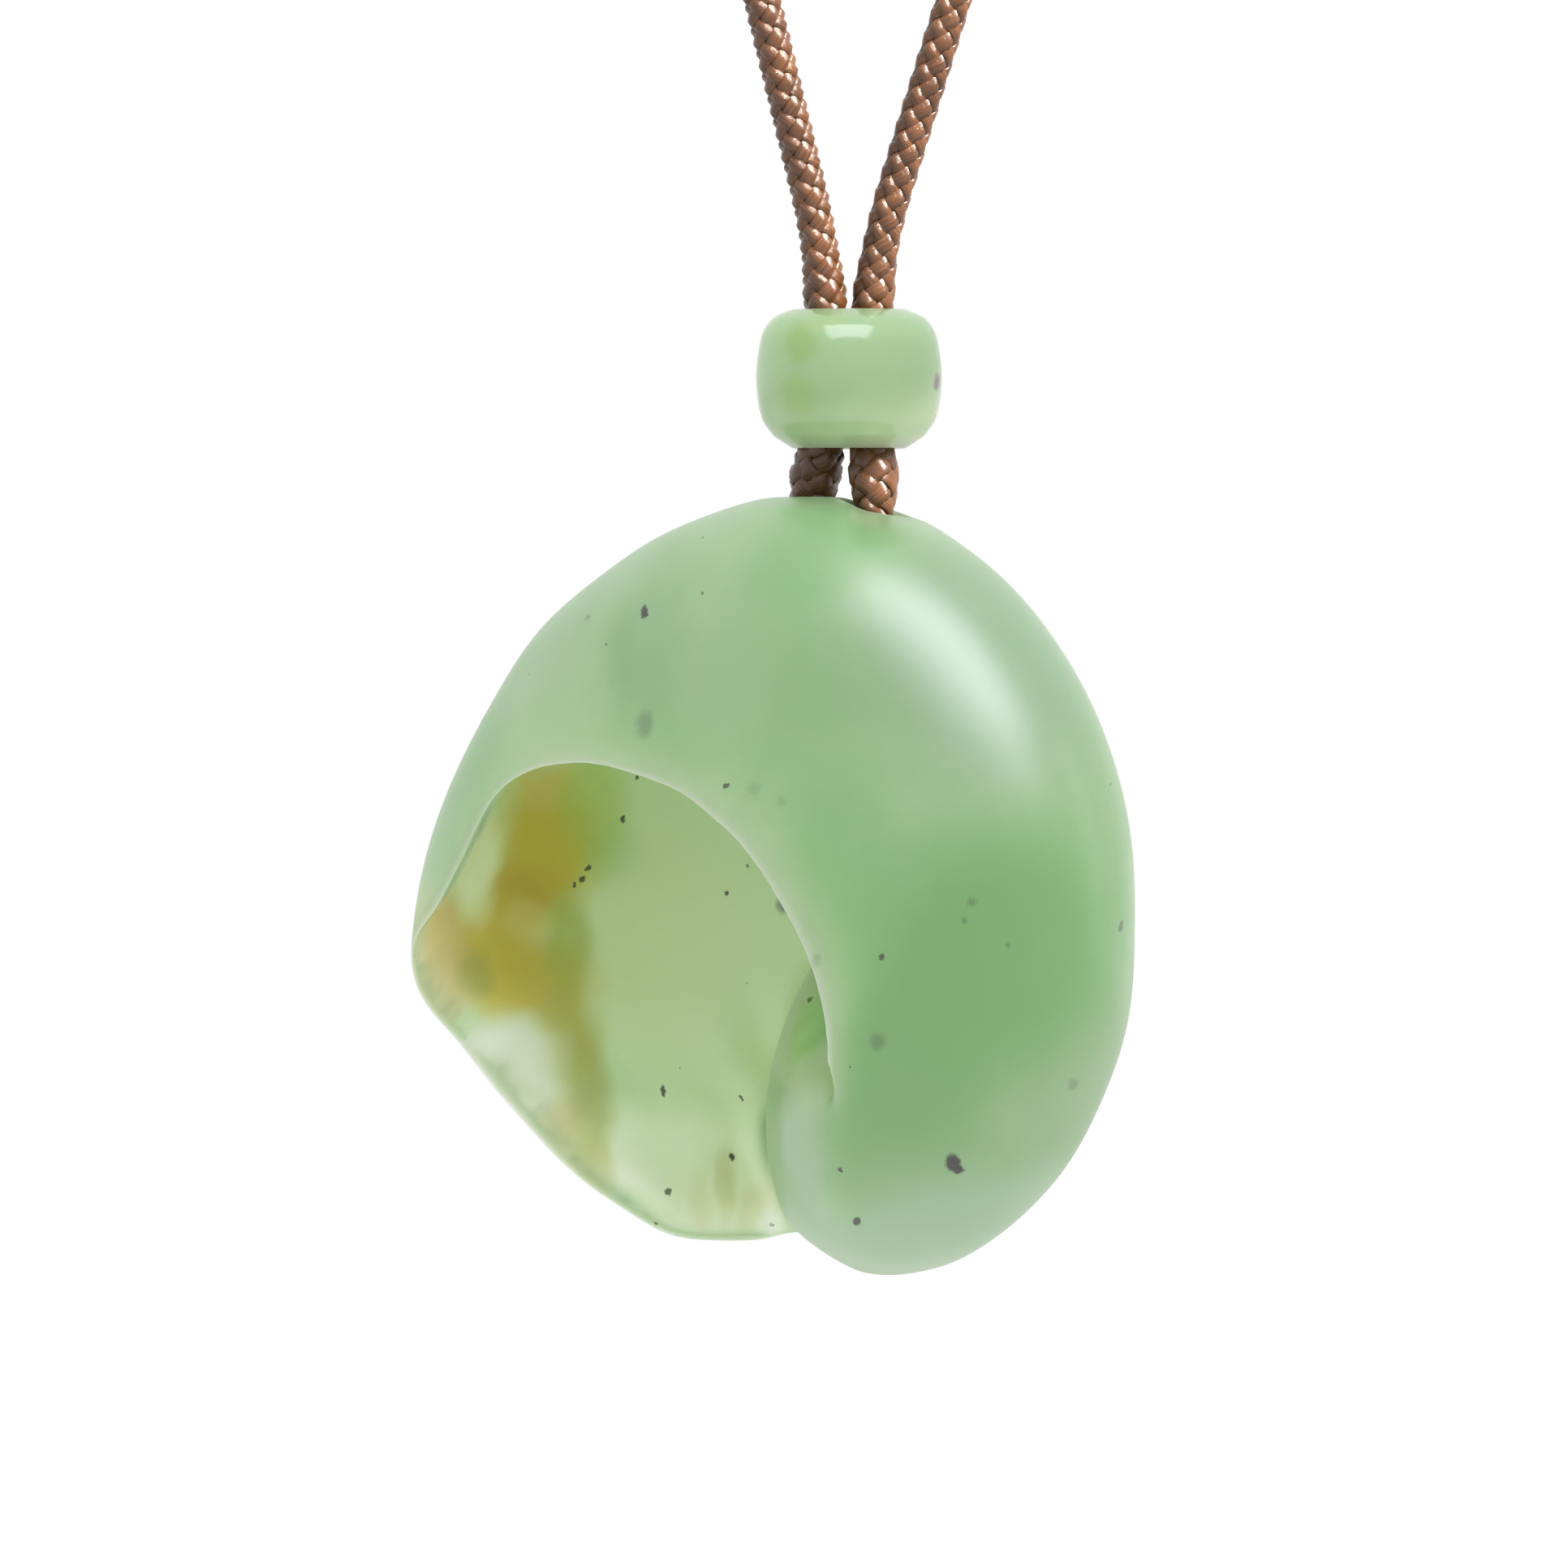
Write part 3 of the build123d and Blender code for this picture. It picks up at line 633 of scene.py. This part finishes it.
def braid(name, path, stops, swell, shift):  # the strands of a round braid along a path, as one mesh
    travelled = lengthAlong(path)
    centre = np.stack([np.interp(stops, travelled, path[:, k]) for k in range(3)], axis=1)
    ahead = np.gradient(centre, stops, axis=0)
    ahead /= np.linalg.norm(ahead, axis=1, keepdims=True)
    side = np.empty_like(ahead)
    side[0] = np.cross(ahead[0], (0.0, 1.0, 0.0))
    for k in range(1, len(stops)):  # carried along without twisting
        side[k] = side[k - 1] - ahead[k] * (side[k - 1] @ ahead[k])
        side[k] /= np.linalg.norm(side[k])
    over = np.cross(ahead, side)
    each = cord["strandsEachWay"]
    outer = cord["diameter"] / 2 * swell
    middle = outer - cord["strandThickness"] / 2 - cord["rise"]
    thick = cord["strandThickness"] / 2
    points, faces, across, along = [], [], [], []
    ring = np.radians(cord["corners"])
    count = len(ring)
    for way in (1, -1):
        for strand in range(each):
            turn = way * 2 * math.pi * stops / cord["lay"] + 2 * math.pi * strand / each
            radius = middle + way * cord["rise"] * np.cos(each * turn)
            turn = turn + shift
            out = side * np.cos(turn)[:, None] + over * np.sin(turn)[:, None]
            line = centre + out * radius[:, None]
            run = np.gradient(line, stops, axis=0)
            run /= np.linalg.norm(run, axis=1, keepdims=True)
            flat = np.cross(run, out)
            flat /= np.linalg.norm(flat, axis=1, keepdims=True)
            rise = np.cross(flat, run)
            first = len(points)
            for k in range(len(stops)):
                wide = cord["strandWidth"] / 2 * swell[k]
                sideways = flat[k] * wide * np.cos(ring)[:, None]
                points.extend(line[k] + sideways + rise[k] * thick * np.sin(ring)[:, None])
                across.extend(ring / (2 * math.pi))
                along.extend([stops[k] / mm] * count)
            faces.extend(tubeFaces(first, len(stops), count))
            faces.append(tuple(range(first + count - 1, first - 1, -1)))
            faces.append(tuple(range(len(points) - count, len(points))))
    count, first, inner = cord["coreSides"], len(points), range(0, len(stops), 3)
    ring = np.radians(np.arange(count) * 360 / count)
    for k in inner:
        around = side[k] * np.cos(ring)[:, None] + over[k] * np.sin(ring)[:, None]
        points.extend(centre[k] + around * cord["core"] * swell[k])
        across.extend(ring / (2 * math.pi))
        along.extend([stops[k] / mm] * count)
    faces.extend(tubeFaces(first, len(inner), count))
    piece = newPiece(name, points, faces)
    layer = piece.data.uv_layers.new(name="strand")
    corners = np.empty(len(piece.data.loops), int)
    piece.data.loops.foreach_get("vertex_index", corners)
    coordinates = np.stack([np.array(across)[corners], np.array(along)[corners]], axis=1)
    layer.data.foreach_set("uv", coordinates.ravel())
    return piece, centre


# braided nylon, dyed brown: bundles of glossy filaments that spark where a strand's crown faces the light

nylon = {
    "pale": "#7c4f2e",
    "base": "#50311a",
    "dark": "#331b0c",
    "ior": 1.53,
    "filament": 0.03 * mm,  # how high a filament stands out
}


def nylonMaterial():
    material, tree = newMaterial("braidedNylon")
    uv = addNode(tree, "ShaderNodeUVMap", uv_map="strand").outputs["UV"]
    place = addNode(tree, "ShaderNodeTexCoord").outputs["Object"]
    stretched = addNode(
        tree, "ShaderNodeVectorMath", {1: (90.0, 0.5, 1.0)}, {0: uv}, operation="MULTIPLY"
    )
    filaments = addNode(
        tree,
        "ShaderNodeTexNoise",
        {"Scale": 1.0, "Detail": 3, "Roughness": 0.65},
        {"Vector": stretched.outputs[0]},
    )
    patches = addNode(tree, "ShaderNodeTexNoise", {"Scale": 600, "Detail": 2}, {"Vector": place})
    blend = addNode(
        tree,
        "ShaderNodeMath",
        {1: 0.35},
        {0: patches.outputs["Fac"], 2: filaments.outputs["Fac"]},
        operation="MULTIPLY_ADD",
    )
    shade = addNode(tree, "ShaderNodeValToRGB", links={"Fac": blend.outputs[0]})
    ramp = shade.color_ramp
    ramp.elements[0].position, ramp.elements[1].position = 0.48, 0.86
    ramp.elements[0].color = hexToLinear(nylon["dark"])
    ramp.elements[1].color = hexToLinear(nylon["pale"])
    ramp.elements.new(0.64).color = hexToLinear(nylon["base"])
    bump = addNode(
        tree,
        "ShaderNodeBump",
        {"Strength": 0.6, "Distance": nylon["filament"]},
        {"Height": filaments.outputs["Fac"]},
    )
    tangent = addNode(tree, "ShaderNodeTangent", direction_type="UV_MAP", uv_map="strand")
    fibre = addNode(
        tree,
        "ShaderNodeBsdfPrincipled",
        {
            "Roughness": 0.24,
            "IOR": nylon["ior"],
            "Specular IOR Level": 0.6,
            "Anisotropic": 0.35,
            "Sheen Weight": 0.1,
            "Sheen Roughness": 0.3,
            "Sheen Tint": hexToLinear("#e8a468"),
        },
        {
            "Base Color": shade.outputs["Color"],
            "Normal": bump.outputs["Normal"],
            "Tangent": tangent.outputs[0],
        },
    )
    addNode(tree, "ShaderNodeOutputMaterial", links={"Surface": fibre.outputs[0]})
    return material


nylonBraid = nylonMaterial()
neckPath = curveThrough("neckRoute", cordPoints)
neckLength = lengthAlong(neckPath)
bendAt = neckLength[np.argmin(neckPath[:, 2])]  # how far along the cord its lowest point is
print("cord below the neck:", round(neckLength[-1] / mm, 1), "mm")


def stopsAlong(length, step):  # the places along the cord where its strands have a point
    return np.linspace(0, length, math.ceil(length / step))


def swellAt(stops):  # the braid is squashed wider where it bunches between the bead and the shell
    height = (np.interp(stops, neckLength, neckPath[:, 2]) - crest.z) / mm
    underBead = 0.38 * np.exp(-(((height - 1.0) / 1.4) ** 2))
    overBead = 0.18 * np.exp(-(((height - 8.9) / 1.6) ** 2))
    return 1 + underBead + overBead


neckStops = stopsAlong(neckLength[-1], cord["step"])
neckShift = math.radians(cord["turned"]) * np.tanh((neckStops - bendAt) / (3 * mm))
neckBraid, neckCentre = braid("neckBraid", neckPath, neckStops, swellAt(neckStops), neckShift)
napePath = neckArc()
napeLength = lengthAlong(napePath)[-1]
napeStops = stopsAlong(napeLength, cord["step"])
napeBraid = braid("napeBraid", napePath, napeStops, np.ones(len(napeStops)), 0 * napeStops)[0]
for piece, node in ((neckBraid, "neck_cord"), (napeBraid, "nape_cord")):
    piece.data.materials.append(nylonBraid)
    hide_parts(node)
    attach(piece, "cord")
print("braid:", len(neckBraid.data.polygons), "and", len(napeBraid.data.polygons), "faces")

# the knot: turns of the same nylon wound tight over the cord's ends

knot = {
    "length": 8.0 * mm,
    "radius": 2.3 * mm,
    "taper": 0.35 * mm,  # how much the first and last turn are smaller
    "turns": 7,
    "stepsPerTurn": 40,
    "sides": 8,
}


def woundKnot():
    wire = knot["length"] / (knot["turns"] + 1) / 2
    steps = knot["turns"] * knot["stepsPerTurn"]
    turn = np.linspace(0, 2 * math.pi * knot["turns"], steps + 1)
    travel = np.linspace(-knot["length"] / 2 + wire, knot["length"] / 2 - wire, steps + 1)
    taper = np.minimum(1, np.minimum(turn, turn[-1] - turn) / (2 * math.pi))
    radius = knot["radius"] - wire - knot["taper"] * (1 - taper)
    line = np.stack([travel, radius * np.cos(turn), radius * np.sin(turn)], axis=1)
    run = np.gradient(line, axis=0)
    run /= np.linalg.norm(run, axis=1, keepdims=True)
    out = np.stack([0 * turn, np.cos(turn), np.sin(turn)], axis=1)
    flat = np.cross(run, out)
    ring = np.radians(np.arange(knot["sides"]) * 360 / knot["sides"])
    points, faces = [], []
    for k in range(len(line)):
        around = flat[k] * np.cos(ring)[:, None] + out[k] * np.sin(ring)[:, None]
        points.extend(line[k] + wire * around)
    count = len(ring)
    faces.extend(tubeFaces(0, len(line), count))
    faces.append(tuple(range(count - 1, -1, -1)))
    faces.append(tuple(range(len(points) - count, len(points))))
    piece = newPiece("woundKnot", points, faces)
    layer = piece.data.uv_layers.new(name="strand")
    for loop in piece.data.loops:
        step, j = divmod(loop.vertex_index, count)
        layer.data[loop.index].uv = (j / count, turn[min(step, steps)] * 1.7)
    piece.data.materials.append(nylonBraid)
    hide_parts("knot")
    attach(piece, "cord")
    return piece


woundKnot()
print("knot wound")

# the studio: a white tent, softboxes up at the front right, a small one for the cord, and a pale floor

studio = {
    "floorBelow": 400 * mm,
    "floorRadius": 6.0,
    "floorSides": 64,
    "before": 0.92,  # how bright the white tent is in front of the stone, and behind it
    "behind": 1.01,
    "lens": 500,
    "sensor": 36,
}
middle = pictureToFrame(picture["size"] / 2, picture["size"] / 2)
shellMiddle = crest + Vector((-3, 0, -18)) * mm

lights = {  # offset from the middle of the shell and size in metres, watts, colour
    "sheenSoftbox": ((0.29, -0.2, 0.485), (0.5, 0.66), 3.0, "#eee6ff"),
    "keySoftbox": ((0.3, -0.187, 0.485), (0.22, 0.78), 1.5, "#ffffff"),
    "edgeSoftbox": ((0.58, 0.12, 0.09), (0.06, 0.3), 0.08, "#ffffff"),
    "beadSoftbox": ((0.0, -0.34, 0.42), (0.5, 0.4), 1.8, "#f2eaff"),
    "cordSpot": ((0.62, -0.44, 0.93), (0.2, 0.34), 52.0, "#fff6ee"),
}


def softbox(name):  # a rectangular light that faces the shell
    offset, size, power, colour = lights[name]
    data = bpy.data.lights.new(name, "AREA")
    data.shape = "RECTANGLE"
    data.size, data.size_y = size
    data.energy = power
    data.color = hexToLinear(colour)[:3]
    light = bpy.data.objects.new(name, data)
    light.location = shellMiddle + Vector(offset)
    light.rotation_mode = "QUATERNION"
    light.rotation_quaternion = (-Vector(offset)).to_track_quat("-Z", "Y")
    bpy.context.scene.collection.objects.link(light)
    return light


def lightOnly(light, pieces, state):  # the light reaches only these pieces, or every other one
    group = bpy.data.collections.new("lit by " + light.name)
    for piece in pieces:
        group.objects.link(piece)
    for entry in group.collection_objects:
        entry.light_linking.link_state = state
    light.light_linking.receiver_collection = group


sheen = softbox("sheenSoftbox")
sheen.visible_diffuse = False  # it gives the broad sheen on the dome and nothing else
lightOnly(sheen, [carvedShell], "INCLUDE")
lightOnly(softbox("keySoftbox"), [barrelBead], "EXCLUDE")
lightOnly(softbox("edgeSoftbox"), [barrelBead], "EXCLUDE")
lightOnly(softbox("beadSoftbox"), [barrelBead], "INCLUDE")
lightOnly(softbox("cordSpot"), [neckBraid, napeBraid], "INCLUDE")

floorMesh = bpy.data.meshes.new("studioFloor")
turns = [2 * math.pi * k / studio["floorSides"] for k in range(studio["floorSides"])]
rim = [(studio["floorRadius"] * math.cos(t), studio["floorRadius"] * math.sin(t), 0) for t in turns]
floorMesh.from_pydata(rim, [], [tuple(range(len(rim)))])
studioFloor = bpy.data.objects.new("studioFloor", floorMesh)
studioFloor.location.z = cadBox[0].z - studio["floorBelow"]
bpy.context.scene.collection.objects.link(studioFloor)
paper, paperTree = newMaterial("matPaper")
sheet = addNode(
    paperTree, "ShaderNodeBsdfPrincipled", {"Base Color": hexToLinear("#f4f4f2"), "Roughness": 0.9}
)
addNode(paperTree, "ShaderNodeOutputMaterial", links={"Surface": sheet.outputs[0]})
floorMesh.materials.append(paper)

world = bpy.data.worlds.new("whiteTent")
world.use_nodes = True
world.node_tree.nodes.clear()
way = addNode(world.node_tree, "ShaderNodeTexCoord")
parts = addNode(world.node_tree, "ShaderNodeSeparateXYZ", links={0: way.outputs["Generated"]})
level = addNode(
    world.node_tree,
    "ShaderNodeMapRange",
    {"From Min": -0.2, "From Max": 0.9, "To Min": studio["before"], "To Max": studio["behind"]},
    {"Value": parts.outputs["Y"]},
    interpolation_type="SMOOTHSTEP",
)
glow = addNode(
    world.node_tree,
    "ShaderNodeBackground",
    {"Color": hexToLinear("#ffffff")},
    {"Strength": level.outputs[0]},
)
addNode(world.node_tree, "ShaderNodeOutputWorld", links={"Surface": glow.outputs[0]})
bpy.context.scene.world = world
bpy.context.scene.view_settings.view_transform = "Standard"

lens = bpy.data.cameras.new("pictureCamera")
lens.lens, lens.sensor_width = studio["lens"], studio["sensor"]
lens.clip_start, lens.clip_end = 0.01, 50
camera = bpy.data.objects.new("pictureCamera", lens)
frameWidth = picture["size"] / picture["pixelsPerMm"] * mm
camera.location = middle + Vector((0, -frameWidth * studio["lens"] / studio["sensor"], 0))
camera.rotation_euler = (math.pi / 2, 0, 0)
bpy.context.scene.collection.objects.link(camera)
bpy.context.scene.camera = camera
print("studio lit")
